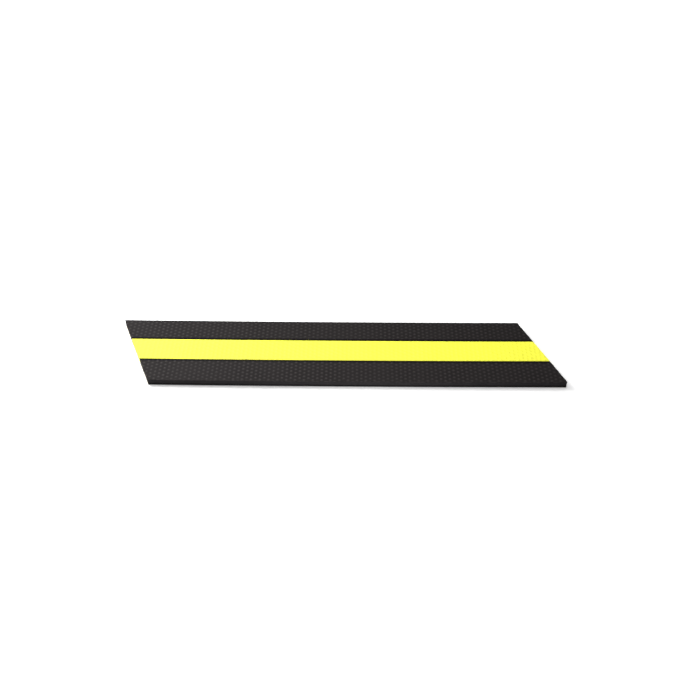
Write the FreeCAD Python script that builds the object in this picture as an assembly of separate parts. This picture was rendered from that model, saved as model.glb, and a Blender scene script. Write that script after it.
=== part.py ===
import FreeCAD, Part
import os

# Stick-on parking stop strip: three foam strips glued edge to edge, with double-coated tape and a
# two-piece release liner underneath. Seen from above it is a parallelogram, both ends cut to one slant.
#
# Millimetres. +X runs along the strip, +Y towards its rear long edge, +Z up.
# The origin is the middle of the footprint, on the floor.

# Driving dimensions of the outline.
OVERALL_LENGTH = 500.0      # tip to tip along X
OVERALL_WIDTH = 100.0       # across the long edges
END_OFFSET = 43.0           # how far the front edge is shifted to +X against the rear edge

# Widths of the coloured bands; the front black band takes what is left.
REAR_BAND_WIDTH = 32.5
CENTRE_BAND_WIDTH = 33.5

# The stack of layers, from the floor up.
LINER_THICKNESS = 0.15
FLOOR_COAT_THICKNESS = 0.15
CARRIER_THICKNESS = 0.10
FOAM_COAT_THICKNESS = 0.10
FOAM_THICKNESS = 8.0        # to the tops of the embossed bumps
EMBOSS_DEPTH = 0.4          # how far the ground between the bumps lies below their tops

# Tape, bond lines and the slit in the liner.
TAPE_SETBACK = 1.5          # the tape is laid a little narrower than the foam
SEAM_FILM_THICKNESS = 0.2
LINER_SLIT_WIDTH = 0.3
REAR_LINER_WIDTH = 40.0

# Sizes that follow from the dimensions above.
REAR_EDGE = OVERALL_WIDTH / 2
FRONT_EDGE = -OVERALL_WIDTH / 2
LONG_EDGE_LENGTH = OVERALL_LENGTH - END_OFFSET
REAR_SEAM = REAR_EDGE - REAR_BAND_WIDTH
FRONT_SEAM = REAR_SEAM - CENTRE_BAND_WIDTH
HALF_FILM = SEAM_FILM_THICKNESS / 2
TAPE_REAR_EDGE = REAR_EDGE - TAPE_SETBACK
TAPE_FRONT_EDGE = FRONT_EDGE + TAPE_SETBACK
SLIT_REAR_SIDE = TAPE_REAR_EDGE - REAR_LINER_WIDTH
SLIT_FRONT_SIDE = SLIT_REAR_SIDE - LINER_SLIT_WIDTH

FLOOR_COAT_BASE = LINER_THICKNESS
CARRIER_BASE = FLOOR_COAT_BASE + FLOOR_COAT_THICKNESS
FOAM_COAT_BASE = CARRIER_BASE + CARRIER_THICKNESS
FOAM_BASE = FOAM_COAT_BASE + FOAM_COAT_THICKNESS
SEAM_FILM_HEIGHT = FOAM_THICKNESS - EMBOSS_DEPTH


def left_end_x(y):
    """X of the slanted left end at a distance y from the strip's middle line."""
    share_of_width = (REAR_EDGE - y) / OVERALL_WIDTH
    return -OVERALL_LENGTH / 2 + END_OFFSET * share_of_width


def slanted_slab(front_y, rear_y, base_z, thickness):
    """A flat slab between two lines along X, with both ends on the strip's slanted cuts."""
    corners = [
        FreeCAD.Vector(left_end_x(front_y), front_y, base_z),
        FreeCAD.Vector(left_end_x(front_y) + LONG_EDGE_LENGTH, front_y, base_z),
        FreeCAD.Vector(left_end_x(rear_y) + LONG_EDGE_LENGTH, rear_y, base_z),
        FreeCAD.Vector(left_end_x(rear_y), rear_y, base_z),
    ]
    outline = Part.makePolygon(corners + corners[:1])
    return Part.Face(outline).extrude(FreeCAD.Vector(0, 0, thickness))


def foam_strips():
    """The three foam strips, with room left for the bond lines between them."""
    return {
        "rear_black_strip": slanted_slab(REAR_SEAM + HALF_FILM, REAR_EDGE, FOAM_BASE, FOAM_THICKNESS),
        "centre_yellow_strip": slanted_slab(
            FRONT_SEAM + HALF_FILM, REAR_SEAM - HALF_FILM, FOAM_BASE, FOAM_THICKNESS
        ),
        "front_black_strip": slanted_slab(FRONT_EDGE, FRONT_SEAM - HALF_FILM, FOAM_BASE, FOAM_THICKNESS),
    }


def seam_films():
    """Hot-melt bond lines; they stop at the ground between the bumps, so nothing stands proud."""
    return {
        name: slanted_slab(seam - HALF_FILM, seam + HALF_FILM, FOAM_BASE, SEAM_FILM_HEIGHT)
        for name, seam in (("rear_seam_film", REAR_SEAM), ("front_seam_film", FRONT_SEAM))
    }


def backing_tape():
    """Double-coated tape on the underside: a carrier film with an adhesive coat on each face."""
    layers = {
        "foam_side_adhesive": (FOAM_COAT_BASE, FOAM_COAT_THICKNESS),
        "tape_carrier": (CARRIER_BASE, CARRIER_THICKNESS),
        "floor_side_adhesive": (FLOOR_COAT_BASE, FLOOR_COAT_THICKNESS),
    }
    return {
        name: slanted_slab(TAPE_FRONT_EDGE, TAPE_REAR_EDGE, base, thickness)
        for name, (base, thickness) in layers.items()
    }


def release_liners():
    """Two liners that meet at a slit along the strip, behind its middle line."""
    return {
        "rear_liner": slanted_slab(SLIT_REAR_SIDE, TAPE_REAR_EDGE, 0.0, LINER_THICKNESS),
        "front_liner": slanted_slab(TAPE_FRONT_EDGE, SLIT_FRONT_SIDE, 0.0, LINER_THICKNESS),
    }


os.makedirs("parts", exist_ok=True)
for make_group in (foam_strips, seam_films, backing_tape, release_liners):
    for node, shape in make_group().items():
        shape.exportStep(f"parts/{node}.step")
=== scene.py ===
"""Looks of a stick-on foam parking stop strip: three embossed foam strips, glued edge to edge, on tape.

Metres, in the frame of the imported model: +X along the strip, +Y to its rear edge, +Z up. The foam strips and
the glue between them are meshes made here, each in the place of its CAD solid. The tape's layers and the
release liners stay CAD parts, and only get materials.
"""

import math

import bpy
import numpy as np
from mathutils import Matrix, Vector


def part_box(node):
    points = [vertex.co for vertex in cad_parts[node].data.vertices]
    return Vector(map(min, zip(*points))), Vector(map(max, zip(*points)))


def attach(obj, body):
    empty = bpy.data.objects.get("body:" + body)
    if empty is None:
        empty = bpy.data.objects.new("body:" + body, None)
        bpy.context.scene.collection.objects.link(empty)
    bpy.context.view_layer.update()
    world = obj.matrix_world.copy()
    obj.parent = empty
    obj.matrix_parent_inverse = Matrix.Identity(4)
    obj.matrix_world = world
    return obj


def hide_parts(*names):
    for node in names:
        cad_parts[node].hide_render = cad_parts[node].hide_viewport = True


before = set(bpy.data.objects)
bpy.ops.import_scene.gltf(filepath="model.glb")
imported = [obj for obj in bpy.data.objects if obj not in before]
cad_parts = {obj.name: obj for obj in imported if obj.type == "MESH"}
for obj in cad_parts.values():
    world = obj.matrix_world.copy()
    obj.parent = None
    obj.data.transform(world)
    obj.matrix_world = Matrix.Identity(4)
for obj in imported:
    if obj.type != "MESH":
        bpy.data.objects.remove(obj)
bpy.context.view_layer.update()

MM = 0.001

# The embossed top: round bumps in staggered rows, nearest neighbours across the strip.
BUMP_PITCH = 5.56 * MM
BUMP_ROW_SPACING = BUMP_PITCH * math.sqrt(3) / 2
BUMP_RADIUS = 2.1 * MM
BUMP_HEIGHT = 0.4 * MM
BUMP_SHARPNESS = 1.5        # 1 is a cosine's round top, more is narrower

# The mesh of the top stands on a grid that the bumps share, so every bump has the same vertices.
GRID_X = BUMP_ROW_SPACING / 9
GRID_Y = BUMP_PITCH / 10

# Beside a glued seam the clamps have pressed the bumps flat.
PRESSED_WIDTH = 1.8 * MM

# Top edges left by the cutting knife, and the softer ones that make a groove along a glued seam.
CUT_EDGE_RADIUS = 0.35 * MM
SEAM_EDGE_RADIUS = 0.6 * MM
EDGE_STEPS = 4

# Corners of the outline, seen from above; the front right one has been knocked blunt.
CORNER_RADIUS = 0.7 * MM
BLUNT_CORNER_RADIUS = 2.2 * MM

# The cut sides are slightly hollow, and their foot is drawn in above the tape.
SIDE_HOLLOW = 0.15 * MM
SIDE_RINGS = 6
FOOT_RADIUS = 0.8 * MM
FOOT_STEPS = 4

# At each end of the underside, a hub this far in is joined to the outline, up to that column of the grid.
HUB_INSET = 3.0 * MM
HUB_COLUMNS = 12

# The glue in the seams. Its top wanders up and down, a little above the bottom of the groove, by ripples of
# (wavelength, share of the dip, phase), and sags between the strips by a share of the seam's width.
GLUE_STATIONS = 240
GLUE_DEPTH = 0.42 * MM
GLUE_DIP = 0.15 * MM
GLUE_RIPPLES = ((31.0 * MM, 0.5, 0.3), (12.7 * MM, 0.3, 1.9), (7.1 * MM, 0.2, 4.1))
GLUE_SAG = 0.3

# The soft strip doesn't lie quite straight: its middle is this much further to the front than its ends.
BOW = 1.0 * MM

# The slant of the ends, the length of each long edge and the foam's heights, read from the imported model.
rear_low, rear_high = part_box("rear_black_strip")
front_low, front_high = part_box("front_black_strip")
END_SLANT = (rear_low.x - front_low.x) / (rear_high.y - front_high.y)
LONG_EDGE = rear_high.x - rear_low.x + END_SLANT * (rear_high.y - rear_low.y)
FOAM_BASE = rear_low.z
FOAM_TOP = rear_high.z


# The outline. u is a point's distance from the slanted left end along X, and v from its strip's front side.


def left_end_x(y):
    """X of the slanted left end at y."""
    return rear_low.x + END_SLANT * (y - rear_high.y)


def bowed(x, y):
    """y after the slight bow of the whole strip, as seen from above."""
    share = x / (LONG_EDGE / 2)
    mean_square_share = 1 / 3
    return y + BOW * (share * share - mean_square_share)


def rounded_corners(u, v, width, outer_sides):
    """Draws the outline's corners on the outer sides in to arcs."""
    u = u.copy()
    v = v.copy()
    for side in outer_sides:
        for end in ("left", "right"):
            radius = BLUNT_CORNER_RADIUS if (side, end) == ("front", "right") else CORNER_RADIUS
            to_end = u if end == "left" else LONG_EDGE - u
            to_side = v if side == "front" else width - v
            end_reach = np.clip(radius - to_end, 0, None)
            side_reach = np.clip(radius - to_side, 0, None)
            in_corner = (end_reach > 0) & (side_reach > 0)
            reach = np.where(in_corner, np.hypot(end_reach, side_reach), 1)
            scale = np.where(in_corner, np.maximum(end_reach, side_reach) / reach, 1)
            end_shift = end_reach * (1 - scale)
            side_shift = side_reach * (1 - scale)
            u += end_shift if end == "left" else -end_shift
            v += side_shift if side == "front" else -side_shift
    return u, v


# The foam strips. outer_sides names the long sides of a strip, "front" or "rear", that are cut edges of the
# whole strip; the others are glued to a neighbour.


def bump_profile(x, y, phase_x, phase_y):
    """Height of the embossed top above its ground, from 0 to 1, at points x, y."""
    nearest = np.full(x.shape, np.inf)
    for half in (0.0, 0.5):
        to_x = (x - phase_x) / (2 * BUMP_ROW_SPACING) - half
        to_y = (y - phase_y) / BUMP_PITCH - half
        off_x = (to_x - np.round(to_x)) * 2 * BUMP_ROW_SPACING
        off_y = (to_y - np.round(to_y)) * BUMP_PITCH
        nearest = np.minimum(nearest, np.hypot(off_x, off_y))
    share = np.clip(nearest / BUMP_RADIUS, 0, 1)
    return np.cos(share * math.pi / 2) ** BUMP_SHARPNESS


def distance_to_glued_side(v, width, outer_sides):
    """How far points at v lie from the nearest side that is glued to a neighbour."""
    nearest = np.full(v.shape, width)
    if "front" not in outer_sides:
        nearest = np.minimum(nearest, v)
    if "rear" not in outer_sides:
        nearest = np.minimum(nearest, width - v)
    return nearest


def side_radius(side, outer_sides):
    """The radius of the top edge along the front or the rear side."""
    return CUT_EDGE_RADIUS if side in outer_sides else SEAM_EDGE_RADIUS


def edge_drop(distance, radius):
    """How far a rounded edge lies below the face at a distance from the side."""
    inside = np.clip(radius - distance, 0, radius)
    return radius - np.sqrt(radius**2 - inside**2)


def edge_distances(radius):
    """Distances from a side at which the rounded edge has vertices."""
    angles = np.linspace(0, math.pi / 2, EDGE_STEPS + 1)
    return radius * (1 - np.cos(angles))


def grid_rows(y_front, y_rear, phase_y, outer_sides):
    """y of each row of the top: the two rounded edges, and between them the bumps' own grid."""
    front_radius = side_radius("front", outer_sides)
    rear_radius = side_radius("rear", outer_sides)
    first = math.ceil((y_front + front_radius + GRID_Y / 2 - phase_y) / GRID_Y)
    last = math.floor((y_rear - rear_radius - GRID_Y / 2 - phase_y) / GRID_Y)
    inner = phase_y + GRID_Y * np.arange(first, last + 1)
    front_edge = y_front + edge_distances(front_radius)
    rear_edge = y_rear - edge_distances(rear_radius)[::-1]
    return np.concatenate([front_edge, inner, rear_edge])


def grid_columns(y, phase_x):
    """u of each column along the row at y. Every row has the same number of them."""
    edge = edge_distances(CUT_EDGE_RADIUS)
    clear = CUT_EDGE_RADIUS + GRID_X / 2
    left = left_end_x(y)
    first = math.ceil((left + clear - phase_x) / GRID_X)
    count = math.floor((LONG_EDGE - 2 * clear) / GRID_X)
    inner = phase_x + GRID_X * (first + np.arange(count)) - left
    return np.concatenate([edge, inner, LONG_EDGE - edge[::-1]])


def embossed_top(low, high, phase, outer_sides):
    """u, v and height of the top's points, as grids of rows from front to rear and columns from the left."""
    width = high.y - low.y
    phase_x, phase_y = phase
    rows = grid_rows(low.y, high.y, phase_y, outer_sides)
    u = np.array([grid_columns(y, phase_x) for y in rows])
    v = np.repeat((rows - low.y)[:, None], u.shape[1], axis=1)
    ground = high.z - BUMP_HEIGHT
    unpressed = np.clip(distance_to_glued_side(v, width, outer_sides) / PRESSED_WIDTH, 0, 1)
    bumps = BUMP_HEIGHT * bump_profile(left_end_x(low.y + v) + u, low.y + v, phase_x, phase_y) * unpressed
    drops = (
        edge_drop(v, side_radius("front", outer_sides)),
        edge_drop(width - v, side_radius("rear", outer_sides)),
        edge_drop(np.minimum(u, LONG_EDGE - u), CUT_EDGE_RADIUS),
    )
    return u, v, ground + bumps - np.maximum.reduce(drops)


def side_rings(top_edge_z, base_z):
    """Rings of the sides from the top edge down to the underside, each (how far in, heights)."""
    foot_z = base_z + FOOT_RADIUS
    rings = []
    for step in range(1, SIDE_RINGS + 1):
        share = step / SIDE_RINGS
        inset = SIDE_HOLLOW * math.sin(math.pi * share)
        rings.append((inset, top_edge_z + (foot_z - top_edge_z) * share))
    for step in range(1, FOOT_STEPS + 1):
        angle = math.pi / 2 * step / FOOT_STEPS
        inset = FOOT_RADIUS * (1 - math.cos(angle))
        rings.append((inset, np.full(top_edge_z.shape, base_z + FOOT_RADIUS * (1 - math.sin(angle)))))
    return rings


def once_round(index):
    """The points on the outline of a grid, once round from its front left corner."""
    return np.concatenate([index[0, :-1], index[:-1, -1], index[-1, :0:-1], index[:0:-1, 0]])


def strip_points(top, outline, width, base_z, outer_sides):
    """u, v and height of all of a strip's points: the top, whose outline is given, the rings of the sides,
    and the two hubs of the underside."""
    top_u, top_v, top_z = (values.ravel() for values in top)
    edge_u = top_u[outline]
    edge_v = top_v[outline]
    all_u = [top_u]
    all_v = [top_v]
    all_z = [top_z]
    for inset, ring_z in side_rings(top_z[outline], base_z):
        front_inset = inset if "front" in outer_sides else 0.0
        rear_inset = inset if "rear" in outer_sides else 0.0
        all_u.append(inset + edge_u * (LONG_EDGE - 2 * inset) / LONG_EDGE)
        all_v.append(front_inset + edge_v * (width - front_inset - rear_inset) / width)
        all_z.append(ring_z)
    all_u.append(np.array([HUB_INSET, LONG_EDGE - HUB_INSET]))
    all_v.append(np.full(2, width / 2))
    all_z.append(np.full(2, base_z))
    return np.concatenate(all_u), np.concatenate(all_v), np.concatenate(all_z)


def fan_faces(hub, outline):
    """Triangles from a hub to an outline round it, facing down. The outline is anticlockwise from above."""
    return [(hub, far, near) for near, far in zip(outline, np.roll(outline, -1))]


def underside_faces(ring, row_count, column_count, left_hub, right_hub):
    """Faces of the flat underside inside a ring of points: a ladder between the long sides, and at each end
    a fan round a hub."""
    rear_start = column_count + row_count - 2
    front = ring[:column_count]
    rear = ring[rear_start : rear_start + column_count][::-1]
    near = front[HUB_COLUMNS:-HUB_COLUMNS]
    far = rear[HUB_COLUMNS:-HUB_COLUMNS]
    ladder = np.stack([near[:-1], far[:-1], far[1:], near[1:]], axis=1).tolist()
    left_end = np.append(ring[rear_start + column_count - 1 - HUB_COLUMNS :], ring[: HUB_COLUMNS + 1])
    right_end = ring[column_count - 1 - HUB_COLUMNS : rear_start + HUB_COLUMNS + 1]
    return ladder + fan_faces(left_hub, left_end) + fan_faces(right_hub, right_end)


def strip_faces(index, outline):
    """A strip's faces: those of the embossed top, and those of its sides and underside."""
    corners = (index[:-1, :-1], index[:-1, 1:], index[1:, 1:], index[1:, :-1])
    top_faces = np.stack([corner.ravel() for corner in corners], axis=1).tolist()
    other_faces = []
    ring = outline
    next_point = index.size
    for _ in range(SIDE_RINGS + FOOT_STEPS):
        below = next_point + np.arange(len(outline))
        other_faces += np.stack([ring, below, np.roll(below, -1), np.roll(ring, -1)], axis=1).tolist()
        ring = below
        next_point += len(outline)
    other_faces += underside_faces(ring, *index.shape, left_hub=next_point, right_hub=next_point + 1)
    return top_faces, other_faces


def new_piece(name, points, faces, materials):
    """A mesh object with its materials, in the scene."""
    mesh = bpy.data.meshes.new(name)
    mesh.from_pydata(points, [], faces)
    for material in materials:
        mesh.materials.append(material)
    piece = bpy.data.objects.new(name, mesh)
    bpy.context.scene.collection.objects.link(piece)
    return piece


def add_attribute(mesh, name, values):
    """Stores one number per vertex, for a material to read."""
    mesh.attributes.new(name, "FLOAT", "POINT").data.foreach_set("value", values)


def foam_strip(name, node, phase, skin, cut_face, outer_sides):
    """An embossed foam strip that fills a CAD strip's space. phase is the place of one of its bumps."""
    low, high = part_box(node)
    width = high.y - low.y
    top = embossed_top(low, high, phase, outer_sides)
    index = np.arange(top[0].size).reshape(top[0].shape)
    outline = once_round(index)
    u, v, z = strip_points(top, outline, width, low.z, outer_sides)
    rounded_u, rounded_v = rounded_corners(u, v, width, outer_sides)
    y = low.y + rounded_v
    x = left_end_x(y) + rounded_u
    points = np.stack([x, bowed(x, y), z], axis=1).tolist()
    top_faces, other_faces = strip_faces(index, outline)
    piece = new_piece(name, points, top_faces + other_faces, (skin, cut_face))

    mesh = piece.data
    material_index = np.repeat([0, 1], [len(top_faces), len(other_faces)])
    mesh.polygons.foreach_set("material_index", material_index.astype(np.int32))
    mesh.polygons.foreach_set("use_smooth", np.ones(len(mesh.polygons), dtype=bool))
    add_attribute(mesh, "to_seam", distance_to_glued_side(v, width, outer_sides))
    add_attribute(mesh, "to_rim", np.minimum.reduce([u, LONG_EDGE - u, v, width - v]))
    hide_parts(node)
    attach(piece, "root")
    return piece


def glue_line(name, node, material):
    """The glue between two foam strips: a thin wall that follows their bow, with an uneven top."""
    low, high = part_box(node)
    width = high.y - low.y
    along = np.linspace(0.0, LONG_EDGE, GLUE_STATIONS + 1)
    dip = np.zeros(along.shape)
    for wavelength, share, phase in GLUE_RIPPLES:
        dip += share * (0.5 + 0.5 * np.sin(along / wavelength * 2 * math.pi + phase))
    base = np.full(along.shape, low.z)
    top = high.z - GLUE_DEPTH - GLUE_DIP * dip
    sagged = top - GLUE_SAG * width
    section = ((low.y, base), (low.y, top), (low.y + width / 2, sagged), (high.y, top), (high.y, base))
    rings = []
    for section_y, z in section:
        y = np.full(along.shape, section_y)
        x = left_end_x(y) + along
        rings.append(np.stack([x, bowed(x, y), z], axis=1))
    index = np.arange(len(section) * len(along)).reshape(len(section), len(along))
    faces = []
    for here, following in zip(index, np.roll(index, -1, axis=0)):
        faces += np.stack([here[:-1], here[1:], following[1:], following[:-1]], axis=1).tolist()
    faces.append(index[:, 0].tolist())
    faces.append(index[::-1, -1].tolist())
    piece = new_piece(name, np.concatenate(rings).tolist(), faces, (material,))
    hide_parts(node)
    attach(piece, "root")


# Building blocks of the materials. Patterns are over the piece's own coordinates, so they don't need UVs.

# Nearly all of a noise lies between these values.
NOISE_LOW = 0.3
NOISE_HIGH = 0.7


def new_material(name):
    """An empty node material and its shader."""
    material = bpy.data.materials.new(name)
    material.use_nodes = True
    return material, material.node_tree, material.node_tree.nodes["Principled BSDF"]


def own_place(tree):
    """A point's place in the piece's own coordinates."""
    return tree.nodes.new("ShaderNodeTexCoord").outputs["Object"]


def own_height(tree):
    """A point's height above the floor."""
    split = tree.nodes.new("ShaderNodeSeparateXYZ")
    tree.links.new(own_place(tree), split.inputs["Vector"])
    return split.outputs["Z"]


def stored_distance(tree, attribute):
    """A distance that foam_strip stored on the mesh."""
    node = tree.nodes.new("ShaderNodeAttribute")
    node.attribute_name = attribute
    return node.outputs["Fac"]


def add_noise(tree, per_metre, detail, stretch=(1.0, 1.0, 1.0)):
    """Noise with so many features to the metre. A stretch under 1 makes them longer along that axis."""
    mapping = tree.nodes.new("ShaderNodeMapping")
    mapping.inputs["Scale"].default_value = stretch
    noise = tree.nodes.new("ShaderNodeTexNoise")
    noise.inputs["Scale"].default_value = per_metre
    noise.inputs["Detail"].default_value = detail
    tree.links.new(own_place(tree), mapping.inputs["Vector"])
    tree.links.new(mapping.outputs["Vector"], noise.inputs["Vector"])
    return noise.outputs["Fac"]


def add_cells(tree, per_metre):
    """Distance to the middle of the nearest cell, as a share of a cell's size."""
    cells = tree.nodes.new("ShaderNodeTexVoronoi")
    cells.inputs["Scale"].default_value = per_metre
    tree.links.new(own_place(tree), cells.inputs["Vector"])
    return cells.outputs["Distance"]


def add_range(tree, value, low, high, to_low, to_high):
    """Maps a value from one range to another, clamped."""
    node = tree.nodes.new("ShaderNodeMapRange")
    for socket, number in zip(("From Min", "From Max", "To Min", "To Max"), (low, high, to_low, to_high)):
        node.inputs[socket].default_value = number
    tree.links.new(value, node.inputs["Value"])
    return node.outputs["Result"]


def add_patches(tree, pattern, start, full, strength=1.0):
    """0 where a pattern is at start, rising to strength where it is at full."""
    return add_range(tree, pattern, start, full, 0.0, strength)


def add_border(tree, distance, full, end, strength=1.0):
    """strength up to a distance of full, falling to 0 at a distance of end."""
    return add_range(tree, distance, full, end, strength, 0.0)


def add_roughness(tree, noise, middle, spread):
    """Roughness that follows a noise, up to spread each side of a middle value."""
    return add_range(tree, noise, NOISE_LOW, NOISE_HIGH, middle - spread, middle + spread)


def add_product(tree, first, second):
    """The product of two values."""
    node = tree.nodes.new("ShaderNodeMath")
    node.operation = "MULTIPLY"
    tree.links.new(first, node.inputs[0])
    tree.links.new(second, node.inputs[1])
    return node.outputs["Value"]


def add_mix(tree, share, colour_a, colour_b):
    """A colour between two, which are colours or sockets."""
    node = tree.nodes.new("ShaderNodeMix")
    node.data_type = "RGBA"
    tree.links.new(share, node.inputs["Factor"])
    for socket, colour in (("A", colour_a), ("B", colour_b)):
        target = next(s for s in node.inputs if s.name == socket and s.type == "RGBA")
        if isinstance(colour, bpy.types.NodeSocket):
            tree.links.new(colour, target)
        else:
            target.default_value = (*colour, 1.0)
    return next(s for s in node.outputs if s.type == "RGBA")


def add_bump(tree, height, depth, strength, under=None):
    """The normal of a layer of bumps so many metres deep, over another layer's normal."""
    node = tree.nodes.new("ShaderNodeBump")
    node.inputs["Distance"].default_value = depth
    node.inputs["Strength"].default_value = strength
    tree.links.new(height, node.inputs["Height"])
    if under is not None:
        tree.links.new(under, node.inputs["Normal"])
    return node.outputs["Normal"]


def scaled_colours(colours, scale):
    """The named colours, all made lighter or darker by a factor."""
    return {name: tuple(channel * scale for channel in colour) for name, colour in colours.items()}


# The materials. A foam skin's roughness is (on the ground, on the crests), and its painted seam shade is
# (share, distance from the seam up to which the painted shade is full, distance at which it ends).

# Foam has hardly any mirror-like gloss.
FOAM_SPECULAR = 0.10

# How wide the rim is that handling has rubbed. The foot of the cut sides is darkened with painted shade: how
# far above the foam's underside the painted shade is full, how far up it ends, and its share.
RIM_WIDTH = 0.9 * MM
FOOT_SHADE_FULL = 1.6 * MM
FOOT_SHADE_END = 3.4 * MM
FOOT_SHADE_SHARE = 0.9

# In each skin the crest colour is a painted highlight on the bump tops, and the seam shade colour is painted
# shade along the glued seams.
BLACK_SKIN = {
    "ground": (0.0112, 0.0096, 0.0096),
    "crest": (0.0300, 0.0262, 0.0262),
    "cloud": (0.0160, 0.0138, 0.0138),
    "rim": (0.0330, 0.0292, 0.0292),
    "painted_seam_shade": (0.0020, 0.0017, 0.0018),
}
# In each cut's colours the foot colour is painted shade, darkening the side towards the floor.
BLACK_CUT = {
    "cell": (0.0120, 0.0108, 0.0115),
    "wall": (0.0232, 0.0209, 0.0221),
    "painted_foot_shade": (0.0020, 0.0018, 0.0019),
}
YELLOW_SKIN = {
    "ground": (0.92, 0.91, 0.069),
    "crest": (0.94, 0.93, 0.077),
    "cloud": (0.90, 0.89, 0.065),
    "rim": (0.94, 0.93, 0.090),
    "painted_seam_shade": (0.12, 0.11, 0.020),
}
YELLOW_CUT = {
    "cell": (0.80, 0.78, 0.050),
    "wall": (0.94, 0.92, 0.095),
    "painted_foot_shade": (0.74, 0.72, 0.045),
}
BLACK_ROUGHNESS = (0.78, 0.60)
BLACK_SEAM_SHADE = (0.95, 2.2 * MM, 3.2 * MM)
YELLOW_ROUGHNESS = (0.66, 0.58)
YELLOW_SEAM_SHADE = (0.85, 0.3 * MM, 0.8 * MM)

# The front black strip's foam is a little lighter than the rear one's.
FRONT_LIGHTNESS = 1.10


def foam_skin(name, colours, roughness, seam_shade_reach):
    """The moulded skin of embossed foam: fine pores, smoother bump tops made lighter by a painted highlight,
    the rim rubbed by handling, and painted shade darkening a band along the seams."""
    material, tree, shader = new_material(name)
    clouds = add_noise(tree, per_metre=28.0, detail=5.0)
    specks = add_noise(tree, per_metre=900.0, detail=2.0)
    rubs = add_noise(tree, per_metre=170.0, detail=4.0)
    seam_shade_share, seam_shade_full, seam_shade_end = seam_shade_reach
    crest = add_patches(tree, own_height(tree), start=FOAM_TOP - BUMP_HEIGHT, full=FOAM_TOP)
    cloud = add_patches(tree, clouds, start=0.38, full=0.66, strength=0.45)
    speckle = add_patches(tree, specks, start=0.62, full=0.80, strength=0.35)
    rubbed = add_patches(tree, rubs, start=0.42, full=0.62, strength=0.8)
    rim = add_border(tree, stored_distance(tree, "to_rim"), full=0.0, end=RIM_WIDTH)
    # Painted shade: a dark band along each glued seam.
    painted_seam_shade = add_border(tree, stored_distance(tree, "to_seam"), seam_shade_full, seam_shade_end, seam_shade_share)

    # Painted highlight: the bump tops are coloured lighter than the ground between them.
    colour = add_mix(tree, crest, colours["ground"], colours["crest"])
    colour = add_mix(tree, cloud, colour, colours["cloud"])
    colour = add_mix(tree, speckle, colour, colours["crest"])
    colour = add_mix(tree, add_product(tree, rim, rubbed), colour, colours["rim"])
    colour = add_mix(tree, painted_seam_shade, colour, colours["painted_seam_shade"])
    tree.links.new(colour, shader.inputs["Base Color"])
    tree.links.new(add_range(tree, crest, 0.0, 1.0, *roughness), shader.inputs["Roughness"])
    shader.inputs["Specular IOR Level"].default_value = FOAM_SPECULAR

    dents = add_noise(tree, per_metre=140.0, detail=3.0)
    grain = add_noise(tree, per_metre=700.0, detail=3.0)
    pores = add_cells(tree, per_metre=2600.0)
    normal = add_bump(tree, dents, depth=0.25 * MM, strength=0.35)
    normal = add_bump(tree, grain, depth=0.08 * MM, strength=0.45, under=normal)
    normal = add_bump(tree, pores, depth=0.08 * MM, strength=0.55, under=normal)
    tree.links.new(normal, shader.inputs["Normal"])
    return material


def foam_cut(name, colours, roughness):
    """A knife-cut foam side: open cells, faint lines along the cut, and painted shade darkening its foot."""
    material, tree, shader = new_material(name)
    cells = add_cells(tree, per_metre=2300.0)
    clouds = add_noise(tree, per_metre=60.0, detail=4.0)
    walls = add_patches(tree, cells, start=0.15, full=0.65)
    cloud = add_patches(tree, clouds, start=0.35, full=0.70, strength=0.4)
    foot_full = FOAM_BASE + FOOT_SHADE_FULL
    foot_end = FOAM_BASE + FOOT_SHADE_END
    # Painted shade: the cut side darkens towards its foot.
    painted_foot_shade = add_border(tree, own_height(tree), foot_full, foot_end, FOOT_SHADE_SHARE)

    colour = add_mix(tree, walls, colours["cell"], colours["wall"])
    colour = add_mix(tree, cloud, colour, colours["cell"])
    colour = add_mix(tree, painted_foot_shade, colour, colours["painted_foot_shade"])
    tree.links.new(colour, shader.inputs["Base Color"])
    matt = add_roughness(tree, add_noise(tree, per_metre=400.0, detail=3.0), roughness, spread=0.08)
    tree.links.new(matt, shader.inputs["Roughness"])
    shader.inputs["Specular IOR Level"].default_value = FOAM_SPECULAR

    knife_lines = add_noise(tree, per_metre=60.0, detail=3.0, stretch=(1.0, 1.0, 40.0))
    normal = add_bump(tree, cells, depth=0.12 * MM, strength=0.55)
    normal = add_bump(tree, knife_lines, depth=0.1 * MM, strength=0.35, under=normal)
    tree.links.new(normal, shader.inputs["Normal"])
    return material


def coated_sheet(name, colours, roughness, grain, spots):
    """A thin film, coat or paper: clouded, with a grain of its own and a scatter of small blemishes. grain is
    (features per metre, their stretch, depth) and spots is (cells per metre, radius as a share of a cell,
    depth)."""
    material, tree, shader = new_material(name)
    grain_per_metre, grain_stretch, grain_depth = grain
    spots_per_metre, spot_radius, spot_depth = spots
    fibres = add_noise(tree, grain_per_metre, detail=4.0, stretch=grain_stretch)
    clouds = add_noise(tree, per_metre=35.0, detail=5.0)
    cloud = add_patches(tree, clouds, start=0.35, full=0.68)
    streak = add_patches(tree, fibres, start=0.45, full=0.75, strength=0.5)
    spot = add_border(tree, add_cells(tree, spots_per_metre), full=spot_radius / 2, end=spot_radius)

    colour = add_mix(tree, cloud, colours["first"], colours["second"])
    colour = add_mix(tree, streak, colour, colours["second"])
    colour = add_mix(tree, spot, colour, colours["spot"])
    tree.links.new(colour, shader.inputs["Base Color"])
    tree.links.new(add_roughness(tree, fibres, roughness, spread=0.06), shader.inputs["Roughness"])

    normal = add_bump(tree, fibres, grain_depth, strength=0.4)
    normal = add_bump(tree, spot, spot_depth, strength=0.5, under=normal)
    tree.links.new(normal, shader.inputs["Normal"])
    return material


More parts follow.
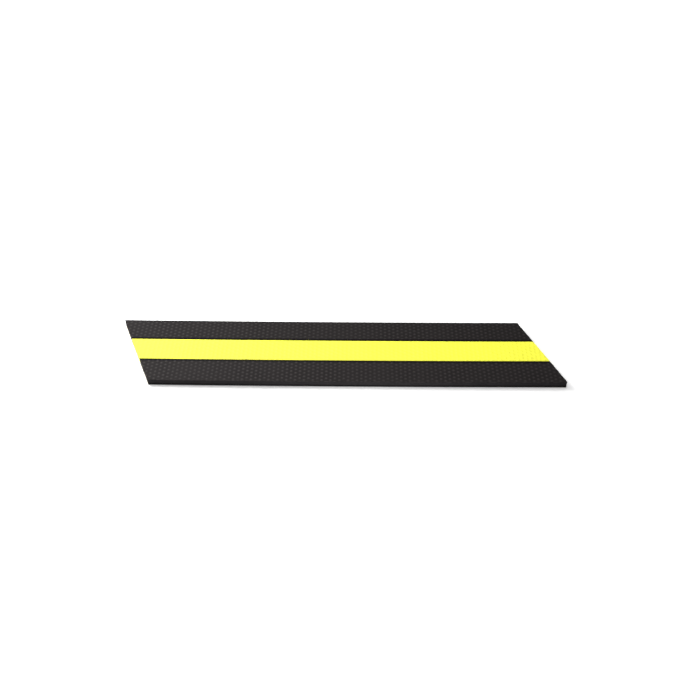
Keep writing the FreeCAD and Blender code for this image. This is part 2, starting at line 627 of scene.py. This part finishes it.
rear_black_skin = foam_skin("rear_black_foam_skin", BLACK_SKIN, BLACK_ROUGHNESS, BLACK_SEAM_SHADE)
front_black_skin = foam_skin(
    "front_black_foam_skin", scaled_colours(BLACK_SKIN, FRONT_LIGHTNESS), BLACK_ROUGHNESS, BLACK_SEAM_SHADE
)
black_cut = foam_cut("black_foam_cut", BLACK_CUT, roughness=0.82)
yellow_skin = foam_skin("yellow_foam_skin", YELLOW_SKIN, YELLOW_ROUGHNESS, YELLOW_SEAM_SHADE)
yellow_cut = foam_cut("yellow_foam_cut", YELLOW_CUT, roughness=0.72)
seam_glue = coated_sheet(
    "seam_glue",
    {"first": (0.010, 0.009, 0.008), "second": (0.022, 0.020, 0.017), "spot": (0.040, 0.037, 0.030)},
    roughness=0.35,
    grain=(500.0, (0.3, 1.0, 1.0), 0.03 * MM),
    spots=(900.0, 0.16, 0.05 * MM),
)
tape_coat = coated_sheet(
    "tape_adhesive",
    {"first": (0.62, 0.54, 0.36), "second": (0.70, 0.62, 0.45), "spot": (0.80, 0.75, 0.62)},
    roughness=0.30,
    grain=(240.0, (1.0, 0.25, 1.0), 0.03 * MM),
    spots=(420.0, 0.14, 0.05 * MM),
)
carrier_film = coated_sheet(
    "carrier_film",
    {"first": (0.72, 0.73, 0.73), "second": (0.80, 0.80, 0.79), "spot": (0.86, 0.86, 0.85)},
    roughness=0.28,
    grain=(700.0, (0.2, 1.0, 1.0), 0.01 * MM),
    spots=(300.0, 0.08, 0.01 * MM),
)
liner_paper = coated_sheet(
    "liner_paper",
    {"first": (0.66, 0.62, 0.52), "second": (0.90, 0.88, 0.82), "spot": (0.50, 0.44, 0.33)},
    roughness=0.46,
    grain=(420.0, (0.3, 1.0, 1.0), 0.05 * MM),
    spots=(160.0, 0.10, 0.02 * MM),
)


# The pieces.

# Each strip, its CAD solid, the place of one of its bumps, and its cut sides.
strips = (
    ("embossed_rear_black", "rear_black_strip", (0.0, 1.1 * MM), ("rear",)),
    ("embossed_centre_yellow", "centre_yellow_strip", (3.0 * MM, 0.4 * MM), ()),
    ("embossed_front_black", "front_black_strip", (1.7 * MM, 2.3 * MM), ("front",)),
)

# Each strip's skin, the look of its cut sides, and its slot.
finishes = (
    (rear_black_skin, black_cut, "black_foam"),
    (yellow_skin, yellow_cut, "yellow_foam"),
    (front_black_skin, black_cut, "black_foam"),
)
for (name, node, phase, outer_sides), (skin, cut_face, slot) in zip(strips, finishes):
    foam_strip(name, node, phase, skin, cut_face, outer_sides)

glue_line("rear_glue_line", "rear_seam_film", seam_glue)
glue_line("front_glue_line", "front_seam_film", seam_glue)

carried_over = {
    "foam_side_adhesive": tape_coat,
    "tape_carrier": carrier_film,
    "floor_side_adhesive": tape_coat,
    "rear_liner": liner_paper,
    "front_liner": liner_paper,
}
for node, material in carried_over.items():
    for material_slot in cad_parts[node].material_slots:
        material_slot.material = material


# Floor, light and camera.

FLOOR_SIZE = 8.0
FLOOR_COLOURS = ((0.84, 0.84, 0.84), (0.87, 0.87, 0.87))
FLOOR_SPECULAR = 0.2
FLOOR_ROUGHNESS = 0.8

# The table is lit from below: weakly up to the near distance, and more and more strongly up to the far one.
NEAR_GLOW = 0.25
NEAR_DISTANCE = 0.1
FAR_GLOW = 1.0
FAR_DISTANCE = 1.6

# The world gives this much light, and looks white where the camera sees it.
WORLD_LIGHT = 0.02
WORLD_SEEN = 1.0
WHITE = (1.0, 1.0, 1.0, 1.0)

# The grid on the front light keeps its beam on the middle of the strip's front side.
FRONT_BEAM = math.radians(30)

CAMERA_PLACE = (0.0162, -0.7915, 0.7240)
CAMERA_PITCH_DOWN = math.radians(42.084)
CAMERA_YAW_RIGHT = math.radians(-0.252)
CAMERA_ROLL = math.radians(0.249)
CAMERA_LENS_MM = 48.806
CAMERA_SENSOR_MM = 36.0


def floor_material():
    """A white table top with faint clouds, lit from below."""
    material, tree, shader = new_material("pale_floor")
    colour = add_mix(tree, add_noise(tree, per_metre=9.0, detail=3.0), *FLOOR_COLOURS)
    tree.links.new(colour, shader.inputs["Base Color"])
    shader.inputs["Roughness"].default_value = FLOOR_ROUGHNESS
    shader.inputs["Specular IOR Level"].default_value = FLOOR_SPECULAR
    shader.inputs["Emission Color"].default_value = WHITE
    distance = tree.nodes.new("ShaderNodeVectorMath")
    distance.operation = "LENGTH"
    tree.links.new(own_place(tree), distance.inputs[0])
    glow = add_range(tree, distance.outputs["Value"], NEAR_DISTANCE, FAR_DISTANCE, NEAR_GLOW, FAR_GLOW)
    tree.links.new(glow, shader.inputs["Emission Strength"])
    return material


def plain_floor():
    """A plain pale floor under the strip."""
    half = FLOOR_SIZE / 2
    corners = [(-half, -half, 0), (half, -half, 0), (half, half, 0), (-half, half, 0)]
    floor = new_piece("floor", corners, [(0, 1, 2, 3)], (floor_material(),))


def softbox(name, place, aim, size, power, spread=math.pi):
    """A square area light at place, pointing at aim. spread is the angle of its beam."""
    light = bpy.data.lights.new(name, "AREA")
    light.size = size
    light.energy = power
    light.spread = spread
    lamp = bpy.data.objects.new(name, light)
    lamp.location = place
    lamp.rotation_euler = (Vector(aim) - Vector(place)).to_track_quat("-Z", "Y").to_euler()
    bpy.context.scene.collection.objects.link(lamp)


def plain_world():
    """Even white light from all round."""
    world = bpy.data.worlds.new("studio")
    world.use_nodes = True
    tree = world.node_tree
    background = tree.nodes["Background"]
    background.inputs["Color"].default_value = WHITE
    seen = tree.nodes.new("ShaderNodeLightPath").outputs["Is Camera Ray"]
    tree.links.new(add_range(tree, seen, 0.0, 1.0, WORLD_LIGHT, WORLD_SEEN), background.inputs["Strength"])
    bpy.context.scene.world = world


def add_camera():
    """The camera, above and in front of the strip."""
    data = bpy.data.cameras.new("camera")
    data.sensor_width = CAMERA_SENSOR_MM
    data.lens = CAMERA_LENS_MM
    camera = bpy.data.objects.new("camera", data)
    camera.matrix_world = (
        Matrix.Translation(CAMERA_PLACE)
        @ Matrix.Rotation(-CAMERA_YAW_RIGHT, 4, "Z")
        @ Matrix.Rotation(math.pi / 2 - CAMERA_PITCH_DOWN, 4, "X")
        @ Matrix.Rotation(CAMERA_ROLL, 4, "Z")
    )
    bpy.context.scene.collection.objects.link(camera)
    bpy.context.scene.camera = camera


plain_floor()
softbox("key", place=(-0.50, 0.28, 0.48), aim=(-0.25, 0.0, 0.0), size=0.5, power=9.2)
softbox("overhead", place=(0.0, 0.6, 3.0), aim=(0.0, 0.6, 0.0), size=5.0, power=96.0)
softbox(
    "front", place=(0.04, -0.75, 0.13), aim=(0.03, -0.05, 0.0), size=0.15, power=0.115, spread=FRONT_BEAM
)
plain_world()
add_camera()
bpy.context.scene.view_settings.view_transform = "Standard"
